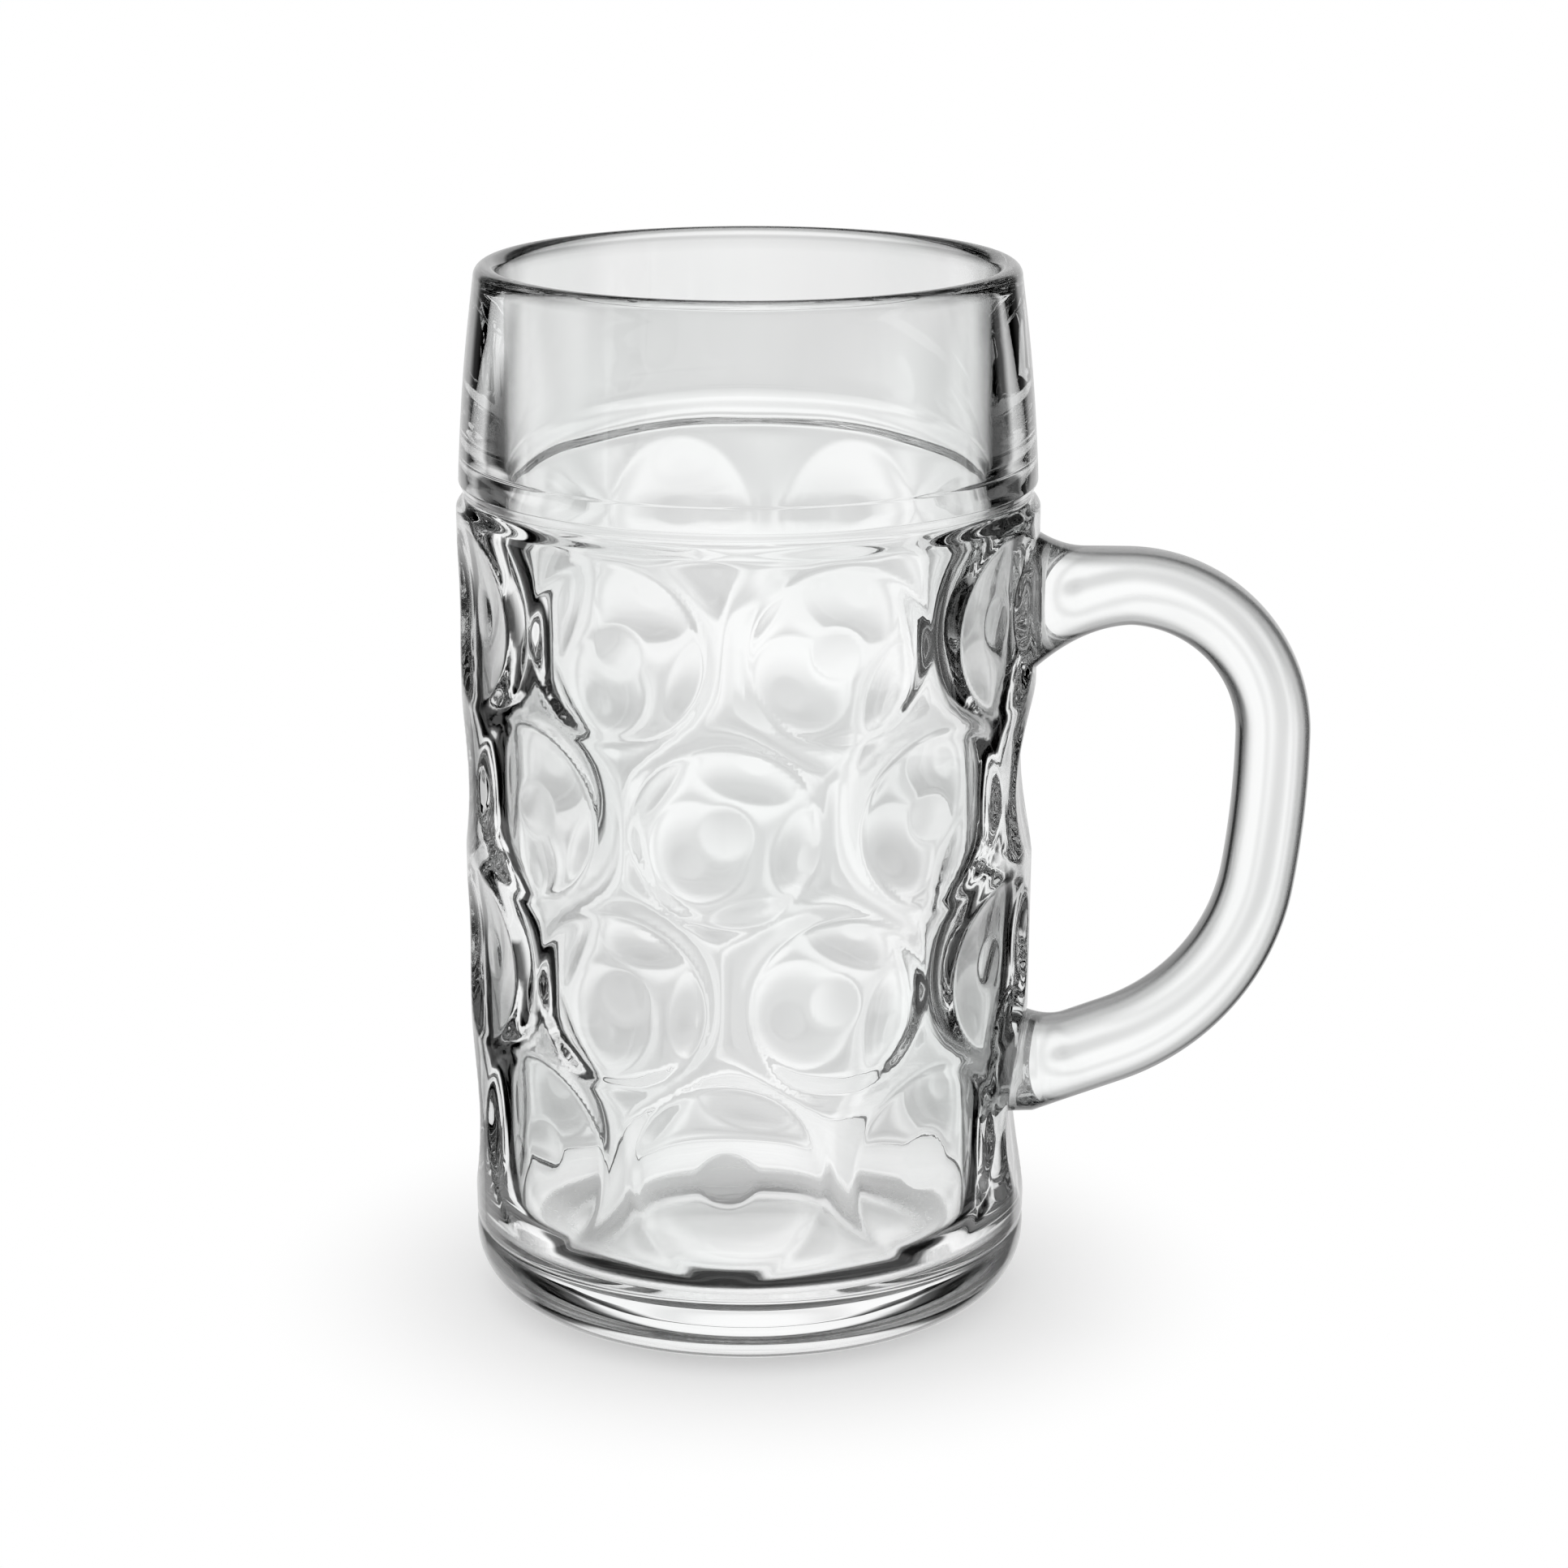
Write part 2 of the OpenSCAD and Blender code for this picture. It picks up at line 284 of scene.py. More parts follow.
def outer_line(s):
    """The outside of the vessel as (radius, height) points, from under the base to inside the rim."""
    foot, low, groove, half = s.foot_radius, s.foot_height, s.groove_height, s.groove_width / 2
    line = [(0.0, s.hollow_depth)] + [(r, s.hollow_depth * part) for r, part in HOLLOW_LINE]
    line += [(s.hollow_radius, 0.0), (s.ring_middle, 0.0)]
    line += arc((foot - s.heel_radius, s.heel_radius), s.heel_radius, -90, 0, HEEL_POINTS)
    line += [(foot - deep, low + up) for up, deep in FOOT_LINE]
    for z in between(low + FOOT_LINE[-1][0], groove - half * GROOVE_CLEAR, WALL_GAP):
        line.append((float(np.interp(z, [low, groove - half], [foot, s.shoulder_radius])), z))
    for i in range(-GROOVE_POINTS, GROOVE_POINTS + 1):
        t = math.pi * GROOVE_PART * i / GROOVE_POINTS
        z = groove + half * t / math.pi
        line.append((float(wall_radius(z, s)) - s.groove_depth * (1 + math.cos(t)) / 2, z))
    start, end = groove + half, s.height - s.rim_thick / 2
    for z in between(start, end, BAND_GAP):
        t = (z - start) / (end - start)
        r = s.band_radius + (s.rim_radius - s.band_radius) * t
        line.append((r + s.band_crown * math.sin(math.pi * t), z))
    line += arc((s.rim_radius - s.rim_thick / 2, end), s.rim_thick / 2, 0, 180, RIM_POINTS)
    line += [(bore(z, s), z) for z in OVER_RIM]
    return line


def bore(z, s):
    """Radius of the bore at a height. A fine step goes round it at the foot of the band."""
    slope = (s.bore_radius - s.bore_step - s.bore_low_radius) / (s.height - s.floor_thick - s.floor_round)
    held = min(1.0, max(0.0, (z - s.step_height) / s.step_tall + 0.5))
    return s.bore_radius - slope * (s.height - z) - s.bore_step * (1 - held * held * (3 - 2 * held))


def inner_line(s):
    """The inside of the vessel as (radius, height) points, from under the rim to the floor's middle."""
    knee = s.floor_thick + s.floor_round
    high, low = s.step_height + s.step_tall / 2, s.step_height - s.step_tall / 2
    heights = [JOINT_HEIGHT] + between(JOINT_HEIGHT, high, UPPER_GAP)
    heights += between(high + STEP_GAP, low - STEP_GAP, STEP_GAP) + between(low, knee, LOWER_GAP)
    line = [(bore(z, s), z) for z in heights]
    line += arc((s.bore_low_radius - s.floor_round, knee), s.floor_round, 0, -90, FLOOR_POINTS)
    return line + [(r, s.floor_thick) for r in FLOOR_RINGS]


def make_vessel(s, material):
    """The vessel: two turned walls joined under the rim, then pressed in and out by the dimples."""
    bm = bmesh.new()
    lathe(bm, outer_line(s), s.outer_steps)
    lathe(bm, inner_line(s), s.inner_steps)
    bmesh.ops.remove_doubles(bm, verts=bm.verts, dist=MERGE)
    bmesh.ops.bridge_loops(bm, edges=[e for e in bm.edges if e.is_boundary])
    piece = piece_from(bm, "mug_glass", material)
    mesh = piece.data
    spots = np.zeros(len(mesh.vertices) * 3)
    mesh.vertices.foreach_get("co", spots)
    spots = spots.reshape(-1, 3)
    x, y, z = spots.T
    around, radius = np.arctan2(y, x), np.hypot(x, y)
    outside = radius > IN_THE_WALL
    wall = ~outside & (radius > s.bore_low_radius - BORE_REACH)
    moved = radius.copy()
    moved[outside] -= outer_depth(around[outside], z[outside], s)
    moved[wall] -= inner_depth(around[wall], z[wall], s)
    spots[:, :2] *= (moved / np.maximum(radius, HAIR))[:, None]
    mesh.vertices.foreach_set("co", spots.ravel())
    mesh.update()
    return piece


# ---------------------------------------------------------------- the handle's shape

# Distance from the axis at which the middle line starts and ends, a little inside the wall's outside
ROOT_START = 0.052
# Points along the upper arm, the upper bend, the grip, the lower bend and the lower arm
UPPER_ARM_POINTS, UPPER_BEND_POINTS, GRIP_POINTS, LOWER_BEND_POINTS, LOWER_ARM_POINTS = 26, 40, 24, 30, 24
# Each root is closed on the wall by rings that shrink to its middle, as shares of its outline
SHRINK = [0.9 - 0.1 * i for i in range(9)] + [0.0]
# Rounds in which a point is moved onto the wall, and the digits by which points are told apart
WALL_ROUNDS, DIGITS = 5, 7


def bend(middle, radius, start, end, points):
    """Part of the handle's middle line that goes round a middle, between two turns from level."""
    turns = (start + (end - start) * i / points for i in range(points))
    return [(middle[0] + radius * math.cos(t), middle[1] - radius * math.sin(t), -QUARTER - t) for t in turns]


def handle_line(h):
    """The handle's middle line: (distance from the axis, height, heading) from the upper root to the lower."""
    arm = h.top - h.upper_thick / 2
    side = h.reach - h.upper_thick / 2
    upper = (side - h.upper_bend, arm - h.upper_bend)
    grip = (side - h.side_bend, upper[1])
    lower = (grip[0] + (h.side_bend - h.lower_bend) * math.cos(h.side_turn),
             grip[1] - (h.side_bend - h.lower_bend) * math.sin(h.side_turn))
    end_turn = QUARTER - h.lower_slope
    line = [(ROOT_START + (upper[0] - ROOT_START) * i / UPPER_ARM_POINTS, arm, 0.0)
            for i in range(UPPER_ARM_POINTS)]
    line += bend(upper, h.upper_bend, -QUARTER, 0.0, UPPER_BEND_POINTS)
    line += bend(grip, h.side_bend, 0.0, h.side_turn, GRIP_POINTS)
    line += bend(lower, h.lower_bend, h.side_turn, end_turn, LOWER_BEND_POINTS)
    end_x = lower[0] + h.lower_bend * math.cos(end_turn)
    end_z = lower[1] - h.lower_bend * math.sin(end_turn)
    for i in range(LOWER_ARM_POINTS + 1):
        run = (end_x - ROOT_START) * i / LOWER_ARM_POINTS
        line.append((end_x - run, end_z - run * math.tan(h.lower_slope), h.lower_slope - math.pi))
    return line


def handle_ring(h, place, turns, wall):
    """One section of the handle, as points round its middle line."""
    x, z, heading = place

    def spread(most, run):
        return most * max(0.0, 1 - (x - ROOT_START) / (run + wall - ROOT_START)) ** 2

    def squared(v):
        return np.sign(v) * np.abs(v) ** (2 / h.power)

    low = heading < -QUARTER - HAIR
    up = 0.0 if low else spread(h.upper_root_up, h.short_run)
    down = spread(h.lower_root_up, h.short_run) if low else spread(h.upper_root_down, h.root_run)
    bent = (-QUARTER - h.side_turn - heading) / (QUARTER - h.lower_slope - h.side_turn)
    thick = h.upper_thick + (h.lower_thick - h.upper_thick) * min(1.0, max(0.0, bent)) + up + down
    wide = h.width + 2 * spread(h.root_side, h.short_run)
    u = squared(np.cos(turns)) * thick / 2 + (up - down) / 2
    v = squared(np.sin(turns)) * wide / 2
    return np.stack([x - u * math.sin(heading), v, z + u * math.cos(heading)], 1)


def onto_wall(points, s, sink):
    """Moves points along X onto the vessel's outer wall, sunk into it by a hair."""
    out = points.copy()
    for _ in range(WALL_ROUNDS):
        around = np.arctan2(out[:, 1], out[:, 0])
        reach = wall_radius(out[:, 2], s) - outer_depth(around, out[:, 2], s) - sink
        out[:, 0] = np.sqrt(np.maximum(reach ** 2 - out[:, 1] ** 2, HAIR))
    return out


def make_handle(h, s, material):
    """The handle: a grid rolled into a tube along the middle line, with both ends closed on the wall."""
    turns = np.linspace(-math.pi, math.pi, h.section_steps + 1)
    rings = [handle_ring(h, place, turns, s.foot_radius) for place in handle_line(h)]
    rings[0], rings[-1] = onto_wall(rings[0], s, h.seat), onto_wall(rings[-1], s, h.seat)
    caps = []
    for ring in (rings[0], rings[-1]):
        middle = ring[:-1].mean(0)
        caps.append([onto_wall(middle + (ring - middle) * k, s, h.seat) for k in SHRINK])
    rings = caps[0][::-1] + rings + caps[1]
    bm = bmesh.new()
    bmesh.ops.create_grid(bm, x_segments=h.section_steps, y_segments=len(rings) - 1, size=1.0)
    for vert in bm.verts:
        column = round((vert.co.x + 1) / 2 * h.section_steps)
        row = round((vert.co.y + 1) / 2 * (len(rings) - 1))
        vert.co = rings[row][column]
    # the edge round each root stays crisp
    ends = len(SHRINK), len(rings) - 1 - len(SHRINK)
    roots = [{tuple(round(c, DIGITS) for c in p) for p in rings[k]} for k in ends]
    at = {v: tuple(round(c, DIGITS) for c in v.co) for v in bm.verts}
    for edge in bm.edges:
        edge.smooth = not any(at[edge.verts[0]] in root and at[edge.verts[1]] in root for root in roots)
    return piece_from(bm, "handle_glass", material)


# ---------------------------------------------------------------- the glass

def node(tree, kind, at, **values):
    """A new node at a place, with sockets set by name and properties by attribute."""
    made = tree.nodes.new(kind)
    made.location = at
    for key, value in values.items():
        if hasattr(made, key):
            setattr(made, key, value)
        else:
            made.inputs[key.replace("_", " ")].default_value = value
    return made


def ramp(made, stops, smooth="EASE"):
    """Sets a colour ramp's stops, each a place and a colour."""
    made.color_ramp.interpolation = smooth
    elements = made.color_ramp.elements
    for i, (place, colour) in enumerate(stops):
        stop = elements[i] if i < 2 else elements.new(place)
        stop.position, stop.color = place, (*colour, 1.0)
    return made


def greys(stops):
    """A ramp's stops from (place, grey) pairs."""
    return [(place, (grey,) * 3) for place, grey in stops]


# Sockets of a colour Mix node
FIRST, SECOND, RESULT = 6, 7, 2
# How many streaks, slow waves and scuffs there are in a metre
STREAKS, WAVES, SCUFFS = 26.0, 85.0, 900.0
# The middle of a noise's values
NOISE_MEAN = 0.5
# Where in the noise the streaks change from the cast to the tint
STREAK_ENDS = 0.35, 0.62
# Heights between which the rim's painted edge shade comes in, and over which the wear of the ring ends
RIM_SHADE_ZONE, WORN_ZONE = (0.1968, 0.1982), (0.0001, 0.0009)
# Painted shade: how far the glass's colour is darkened, by how far its surface is turned away from the eye, so
# that its edges and the rim's round look dark
VESSEL_EDGE_SHADE = ((0.0, 1.0), (0.5, 1.0), (0.8, 0.35), (0.95, 0.05))
RIM_EDGE_SHADE = ((0.0, 1.0), (0.12, 0.9), (0.35, 0.35), (0.6, 0.1))
HANDLE_EDGE_SHADE = ((0.0, 1.0), (0.13, 1.0), (0.42, 0.35), (0.65, 0.04), (0.9, 0.01))


def glass_material(name, finish, painted_edge_shade):
    """Clear pressed glass: faint streaks of colour, painted shade that darkens its edges and rim where they
    turn from the eye, slow waves in the surface and a worn resting ring.
    """
    material = bpy.data.materials.new(name)
    material.use_nodes = True
    tree = material.node_tree
    shader = tree.nodes["Principled BSDF"]
    shader.inputs["Transmission Weight"].default_value = 1.0
    shader.inputs["IOR"].default_value = finish.index
    link = tree.links.new
    where = node(tree, "ShaderNodeTexCoord", (-1300, 0)).outputs["Object"]
    # faint streaks of colour
    streaks = node(tree, "ShaderNodeTexNoise", (-900, 320), Scale=STREAKS, Detail=2.0, Roughness=0.5)
    link(where, streaks.inputs["Vector"])
    colour = ramp(node(tree, "ShaderNodeValToRGB", (-640, 320)),
                  list(zip(STREAK_ENDS, (finish.cast[:], finish.tint[:]))))
    link(streaks.outputs["Fac"], colour.inputs["Fac"])
    # painted shade: the glass's colour darkens where its surface is seen edge on
    slant = node(tree, "ShaderNodeLayerWeight", (-900, 620), Blend=0.5)
    edge_shade_ramp = ramp(node(tree, "ShaderNodeValToRGB", (-640, 620)), greys(painted_edge_shade))
    link(slant.outputs["Facing"], edge_shade_ramp.inputs["Fac"])
    # painted shade on the rim: its tight round darkens sooner and further than the rest
    rim = ramp(node(tree, "ShaderNodeValToRGB", (-640, 900)), greys(RIM_EDGE_SHADE))
    link(slant.outputs["Facing"], rim.inputs["Fac"])
    parts = node(tree, "ShaderNodeSeparateXYZ", (-1100, -60))
    link(where, parts.inputs[0])
    high = node(tree, "ShaderNodeMapRange", (-880, 1100), clamp=True)
    high.inputs["From Min"].default_value, high.inputs["From Max"].default_value = RIM_SHADE_ZONE
    link(parts.outputs["Z"], high.inputs["Value"])
    # up at the rim, the rim's painted shade takes the place of the rest's painted edge shade
    edge = node(tree, "ShaderNodeMix", (-320, 760), data_type="RGBA")
    link(high.outputs[0], edge.inputs[0])
    link(edge_shade_ramp.outputs["Color"], edge.inputs[FIRST])
    link(rim.outputs["Color"], edge.inputs[SECOND])
    # the streaks' colour times the painted edge shade gives the glass's colour
    both = node(tree, "ShaderNodeMix", (-320, 420), data_type="RGBA", blend_type="MULTIPLY")
    both.inputs[0].default_value = 1.0
    link(colour.outputs["Color"], both.inputs[FIRST])
    link(edge.outputs[RESULT], both.inputs[SECOND])
    link(both.outputs[RESULT], shader.inputs["Base Color"])
    # the resting ring is worn, the rest is fire polished
    low = node(tree, "ShaderNodeMapRange", (-880, -60), clamp=True)
    for socket, value in zip(("From Min", "From Max", "To Min", "To Max"), (*WORN_ZONE, 1.0, 0.0)):
        low.inputs[socket].default_value = value
    link(parts.outputs["Z"], low.inputs["Value"])
    scuffs = node(tree, "ShaderNodeTexNoise", (-880, -320), Scale=SCUFFS, Detail=3.0, Roughness=0.6)
    link(where, scuffs.inputs["Vector"])
    worn = node(tree, "ShaderNodeMath", (-640, -120), operation="MULTIPLY")
    link(low.outputs[0], worn.inputs[0])
    link(scuffs.outputs["Fac"], worn.inputs[1])
    rough = node(tree, "ShaderNodeMath", (-440, -120), operation="MULTIPLY")
    rough.inputs[1].default_value = finish.wear / NOISE_MEAN
    link(worn.outputs[0], rough.inputs[0])
    link(rough.outputs[0], shader.inputs["Roughness"])
    # slow waves
    waves = node(tree, "ShaderNodeTexNoise", (-640, -520), Scale=WAVES, Detail=1.0, Roughness=0.4)
    link(where, waves.inputs["Vector"])
    bump = node(tree, "ShaderNodeBump", (-400, -520), Strength=1.0, Distance=finish.waviness)
    link(waves.outputs["Fac"], bump.inputs["Height"])
    link(bump.outputs["Normal"], shader.inputs["Normal"])
    return material


# ---------------------------------------------------------------- the stage

# The surroundings that the glass shows: the way to their middle, behind the mug and below it, how much
# narrower they are to the sides, and how much wider downwards and upwards
AHEAD, DOWN = math.radians(94.7), math.radians(14.0)
SIDEWAYS, DOWNWARDS, UPWARDS = 1.2, 0.4, 0.7
# How light they are, by the angle in degrees from their middle
SURROUNDINGS = ((0, 1.0), (8, 1.0), (13, 0.93), (18, 1.0), (32, 1.0),
                (41, 0.35), (49, 0.02), (97, 0.02), (118, 0.65), (180, 0.95))
# Power that turns a tone as it is seen into light
SEEN = 2.2
# Soft ovals in them: heading, elevation, half width and half height in degrees, then tones outwards
# from the middle. The first is greyer than its surroundings, the others are panels of light.
GREY_OVAL = (94.7, -18.5, 9, 8, ((0.0, 0.83), (0.45, 0.865), (1.3, 1.0)))
PANELS = ((135, -30, 18, 11, ((0.0, 0.97), (0.8, 0.97), (1.2, 0.0))),
          (180, 1, 30, 11, ((0.0, 0.97), (0.7, 0.97), (1.1, 0.0))),
          (315, -12, 36, 20, ((0.0, 0.97), (0.8, 0.97), (1.3, 0.0))))
# The floor: half its width, how far it lies under the mug, its colour, and where and from what share
# it fades to white
FLOOR_HALF, FLOOR_DROP, FLOOR_COLOUR = 3.0, 0.0001, (0.985, 0.985, 0.985, 1)
FADE_ZONE, FADE_START = (0.050, 0.100), 0.5
# The camera: its place, its tilt up from straight down and its turn, in degrees, and its lens
CAMERA_PLACE, CAMERA_TILT, CAMERA_TURN = (0.0651, -0.7915, 0.3129), 90 - 15.03, 4.22
SENSOR, FOCAL, FAR_CLIP = 36.0, 98.65, 100.0
# How many times light may go on in the glass
BOUNCES = {"max_bounces": 32, "transmission_bounces": 28, "glossy_bounces": 12, "transparent_max_bounces": 32}


def light_path(tree, outputs, at):
    """The largest of some of Light Path's outputs."""
    path = node(tree, "ShaderNodeLightPath", at)
    both = node(tree, "ShaderNodeMath", (at[0] + 200, at[1]), operation="MAXIMUM")
    for socket, name in zip(both.inputs, outputs):
        tree.links.new(path.outputs[name], socket)
    return both.outputs[0]


def oval(tree, way, at, heading, elevation, wide, high, tones):
    """The tones of one soft oval in the surroundings."""
    turned = node(tree, "ShaderNodeVectorRotate", at, rotation_type="Z_AXIS", Angle=-math.radians(heading))
    tipped = node(tree, "ShaderNodeVectorRotate", (at[0] + 180, at[1]), rotation_type="Y_AXIS",
                  Angle=math.radians(elevation))
    spread = node(tree, "ShaderNodeVectorMath", (at[0] + 360, at[1]), operation="MULTIPLY")
    spread.inputs[1].default_value = (0.0, 1 / math.tan(math.radians(wide)), 1 / math.tan(math.radians(high)))
    off = node(tree, "ShaderNodeVectorMath", (at[0] + 540, at[1]), operation="LENGTH")
    parts = node(tree, "ShaderNodeSeparateXYZ", (at[0] + 540, at[1] - 140))
    angle = node(tree, "ShaderNodeMath", (at[0] + 720, at[1]), operation="ARCTAN2")
    part = node(tree, "ShaderNodeMath", (at[0] + 880, at[1]), operation="DIVIDE")
    part.inputs[1].default_value = math.pi
    shade = ramp(node(tree, "ShaderNodeValToRGB", (at[0] + 1040, at[1])),
                 greys((math.atan(far) / math.pi, tone ** SEEN) for far, tone in tones))
    for start, end in ((way, turned.inputs["Vector"]), (turned.outputs[0], tipped.inputs["Vector"]),
                       (tipped.outputs[0], spread.inputs[0]), (tipped.outputs[0], parts.inputs[0]),
                       (spread.outputs[0], off.inputs[0]), (off.outputs["Value"], angle.inputs[0]),
                       (parts.outputs["X"], angle.inputs[1]), (angle.outputs[0], part.inputs[0]),
                       (part.outputs[0], shade.inputs["Fac"])):
        tree.links.new(start, end)
    return shade.outputs["Color"]


def make_world():
    """White for the eye and for the floor. The glass shows a white panel behind it, dark to its sides."""
    world = bpy.data.worlds.new("studio")
    bpy.context.scene.world = world
    world.use_nodes = True
    tree = world.node_tree
    tree.nodes.clear()
    link = tree.links.new
    way = node(tree, "ShaderNodeTexCoord", (-1900, 0))
    turned = node(tree, "ShaderNodeVectorRotate", (-1700, 0), rotation_type="Z_AXIS", Angle=-AHEAD)
    tipped = node(tree, "ShaderNodeVectorRotate", (-1500, 0), rotation_type="Y_AXIS", Angle=-DOWN)
    link(way.outputs["Generated"], turned.inputs["Vector"])
    link(turned.outputs[0], tipped.inputs["Vector"])
    parts = node(tree, "ShaderNodeSeparateXYZ", (-1300, 0))
    link(tipped.outputs[0], parts.inputs[0])
    flat = node(tree, "ShaderNodeCombineXYZ", (-700, 0))
    link(parts.outputs["X"], flat.inputs["X"])
    side = node(tree, "ShaderNodeMath", (-1100, 120), operation="MULTIPLY")
    side.inputs[1].default_value = SIDEWAYS
    link(parts.outputs["Y"], side.inputs[0])
    link(side.outputs[0], flat.inputs["Y"])
    above = node(tree, "ShaderNodeMath", (-1100, -60), operation="MAXIMUM")
    below = node(tree, "ShaderNodeMath", (-1100, -240), operation="MINIMUM")
    raised = node(tree, "ShaderNodeMath", (-900, -240), operation="MULTIPLY")
    both = node(tree, "ShaderNodeMath", (-900, -60), operation="MULTIPLY_ADD")
    above.inputs[1].default_value = below.inputs[1].default_value = 0.0
    raised.inputs[1].default_value, both.inputs[1].default_value = DOWNWARDS, UPWARDS
    link(parts.outputs["Z"], above.inputs[0])
    link(parts.outputs["Z"], below.inputs[0])
    link(below.outputs[0], raised.inputs[0])
    link(above.outputs[0], both.inputs[0])
    link(raised.outputs[0], both.inputs[2])
    link(both.outputs[0], flat.inputs["Z"])
    unit = node(tree, "ShaderNodeVectorMath", (-540, 0), operation="NORMALIZE")
    link(flat.outputs[0], unit.inputs[0])
    ahead = node(tree, "ShaderNodeVectorMath", (-380, 0), operation="DOT_PRODUCT")
    ahead.inputs[1].default_value = (1, 0, 0)
    link(unit.outputs[0], ahead.inputs[0])
    angle = node(tree, "ShaderNodeMath", (-220, 0), operation="ARCCOSINE")
    link(ahead.outputs["Value"], angle.inputs[0])
    part = node(tree, "ShaderNodeMath", (-60, 0), operation="DIVIDE")
    part.inputs[1].default_value = math.pi
    link(angle.outputs[0], part.inputs[0])
    stops = greys((angle_off / 180, tone ** SEEN) for angle_off, tone in SURROUNDINGS)
    graded = ramp(node(tree, "ShaderNodeValToRGB", (120, 0)), stops)
    link(part.outputs[0], graded.inputs["Fac"])
    tone = graded.outputs["Color"]
    ovals = [("MULTIPLY", GREY_OVAL)] + [("LIGHTEN", panel) for panel in PANELS]
    for i, (blend, values) in enumerate(ovals):
        blended = node(tree, "ShaderNodeMix", (300 + 160 * i, -400), data_type="RGBA", blend_type=blend)
        blended.inputs[0].default_value = 1.0
        link(tone, blended.inputs[FIRST])
        link(oval(tree, way.outputs["Generated"], (-1500, -600 - 360 * i), *values), blended.inputs[SECOND])
        tone = blended.outputs[RESULT]
    mixed = node(tree, "ShaderNodeMix", (1000, 0), data_type="RGBA")
    link(light_path(tree, ("Is Camera Ray", "Is Diffuse Ray"), (40, 320)), mixed.inputs[0])
    link(tone, mixed.inputs[FIRST])
    mixed.inputs[SECOND].default_value = (1, 1, 1, 1)
    shine = node(tree, "ShaderNodeBackground", (1200, 0), Strength=1.0)
    link(mixed.outputs[RESULT], shine.inputs["Color"])
    end = node(tree, "ShaderNodeOutputWorld", (1400, 0))
    link(shine.outputs[0], end.inputs["Surface"])


def make_floor():
    """A wide pale floor that keeps the mug's shadow and fades to white around it."""
    bm = bmesh.new()
    bmesh.ops.create_grid(bm, x_segments=8, y_segments=8, size=FLOOR_HALF)
    bmesh.ops.translate(bm, verts=bm.verts, vec=(0, 0, -FLOOR_DROP))
    material = bpy.data.materials.new("pale_floor")
    material.use_nodes = True
    tree = material.node_tree
    tree.nodes.clear()
    link = tree.links.new
    where = node(tree, "ShaderNodeTexCoord", (-900, 0))
    far = node(tree, "ShaderNodeVectorMath", (-700, 0), operation="LENGTH")
    link(where.outputs["Object"], far.inputs[0])
    fade = node(tree, "ShaderNodeMapRange", (-500, 0), interpolation_type="SMOOTHSTEP")
    fade.inputs["From Min"].default_value, fade.inputs["From Max"].default_value = FADE_ZONE
    fade.inputs["To Min"].default_value = FADE_START
    link(far.outputs["Value"], fade.inputs["Value"])
    pale = node(tree, "ShaderNodeBsdfDiffuse", (-500, 260), Color=FLOOR_COLOUR)
    white = node(tree, "ShaderNodeEmission", (-500, -260), Strength=1.0)
    shown = node(tree, "ShaderNodeMixShader", (-260, 60))
    for socket, source in zip(shown.inputs, (fade, pale, white)):
        link(source.outputs[0], socket)
    clear = node(tree, "ShaderNodeBsdfTransparent", (-260, -200))
    last = node(tree, "ShaderNodeMixShader", (0, 0))
    link(light_path(tree, ("Is Transmission Ray", "Is Glossy Ray"), (-500, 520)), last.inputs[0])
    link(shown.outputs[0], last.inputs[1])
    link(clear.outputs[0], last.inputs[2])
    end = node(tree, "ShaderNodeOutputMaterial", (200, 0))
    link(last.outputs[0], end.inputs["Surface"])
    mesh = bpy.data.meshes.new("floor")
    bm.to_mesh(mesh)
    bm.free()
    mesh.materials.append(material)
    floor = bpy.data.objects.new("floor", mesh)
    bpy.context.scene.collection.objects.link(floor)


def make_camera():
    """The camera, at the height and angle of the picture."""
    lens = bpy.data.cameras.new("camera")
    lens.sensor_width, lens.lens, lens.clip_end = SENSOR, FOCAL, FAR_CLIP
    camera = bpy.data.objects.new("camera", lens)
    bpy.context.scene.collection.objects.link(camera)
    camera.location = CAMERA_PLACE
    camera.rotation_euler = (math.radians(CAMERA_TILT), 0.0, math.radians(CAMERA_TURN))
    bpy.context.scene.camera = camera


# ---------------------------------------------------------------- operators and panel

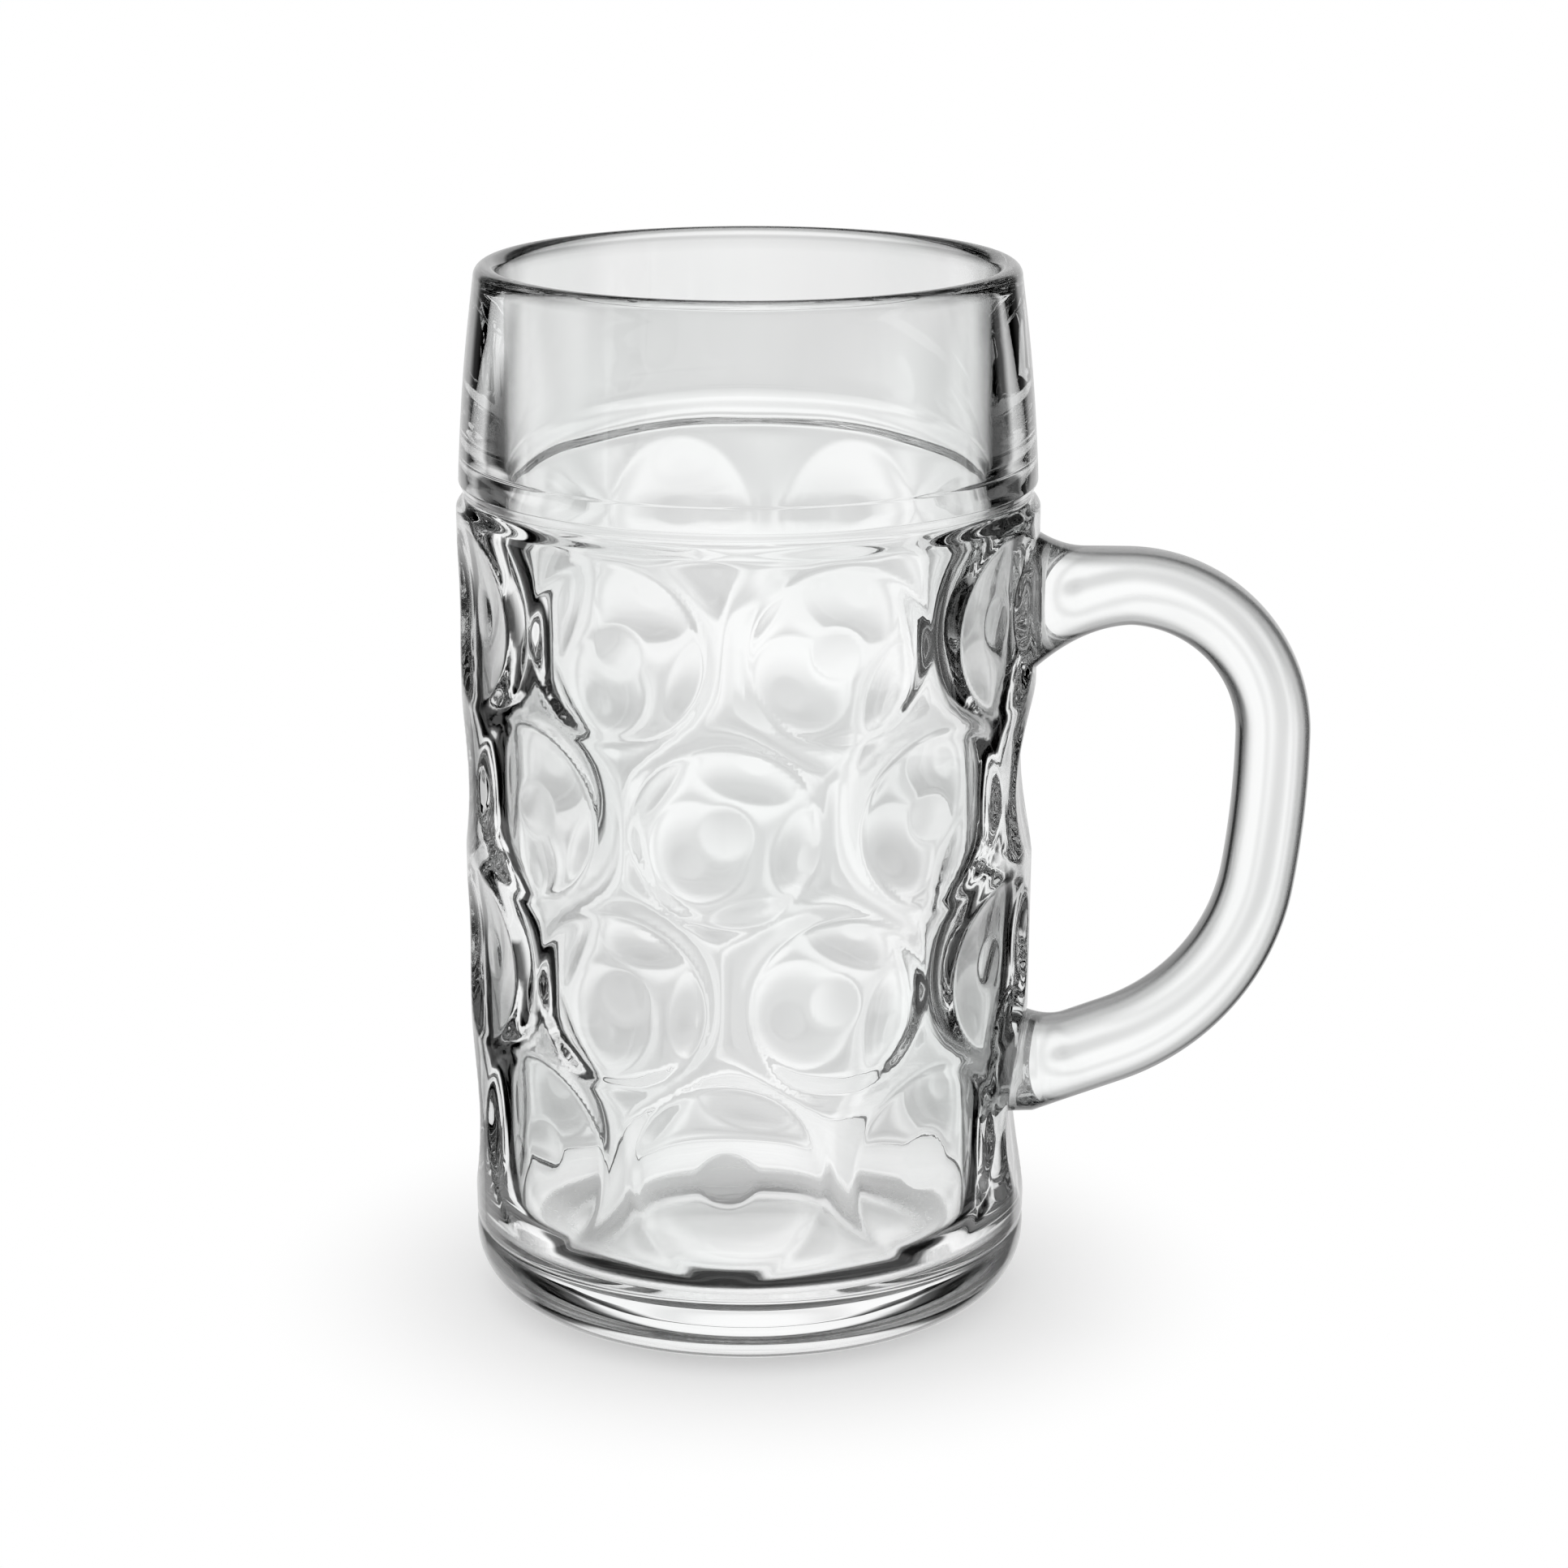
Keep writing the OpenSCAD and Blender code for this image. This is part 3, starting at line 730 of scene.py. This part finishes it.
class MUG_OT_vessel(bpy.types.Operator):
    """Makes the vessel with its dimples, rim and foot"""
    bl_idname = "mug.vessel"
    bl_label = "Make Vessel"

    def execute(self, context):
        scene = context.scene
        piece = make_vessel(scene.mug_vessel, glass_material("vessel_glass", scene.mug_glass, VESSEL_EDGE_SHADE))
        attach(piece, "root")
        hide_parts("mug_body")
        return {"FINISHED"}


class MUG_OT_handle(bpy.types.Operator):
    """Makes the handle, with both its ends on the wall"""
    bl_idname = "mug.handle"
    bl_label = "Make Handle"

    def execute(self, context):
        scene = context.scene
        material = glass_material("handle_glass", scene.mug_glass, HANDLE_EDGE_SHADE)
        piece = make_handle(scene.mug_handle, scene.mug_vessel, material)
        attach(piece, "root")
        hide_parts("handle")
        return {"FINISHED"}


class MUG_OT_stage(bpy.types.Operator):
    """Makes the floor, the light and the camera"""
    bl_idname = "mug.stage"
    bl_label = "Make Stage"

    def execute(self, context):
        make_world()
        make_floor()
        make_camera()
        scene = context.scene
        scene.view_settings.view_transform = "Standard"
        for kind, most in BOUNCES.items():
            setattr(scene.cycles, kind, most)
        return {"FINISHED"}


class MUG_PT_panel(bpy.types.Panel):
    """Lists the mug's pieces and its stage"""
    bl_label = "Dimpled Beer Mug"
    bl_idname = "MUG_PT_panel"
    bl_space_type = "VIEW_3D"
    bl_region_type = "UI"
    bl_category = "Mug"

    def draw(self, context):
        for name in ("mug.vessel", "mug.handle", "mug.stage"):
            self.layout.operator(name)


CLASSES = (VesselSizes, HandleSizes, GlassFinish, MUG_OT_vessel, MUG_OT_handle, MUG_OT_stage, MUG_PT_panel)


def register():
    for cls in CLASSES:
        bpy.utils.register_class(cls)
    bpy.types.Scene.mug_vessel = bpy.props.PointerProperty(type=VesselSizes)
    bpy.types.Scene.mug_handle = bpy.props.PointerProperty(type=HandleSizes)
    bpy.types.Scene.mug_glass = bpy.props.PointerProperty(type=GlassFinish)


def unregister():
    for name in ("mug_vessel", "mug_handle", "mug_glass"):
        delattr(bpy.types.Scene, name)
    for cls in reversed(CLASSES):
        bpy.utils.unregister_class(cls)


def main():
    register()
    bpy.ops.mug.vessel()
    bpy.ops.mug.handle()
    bpy.ops.mug.stage()
    bpy.context.view_layer.update()


if __name__ == "__main__":
    main()
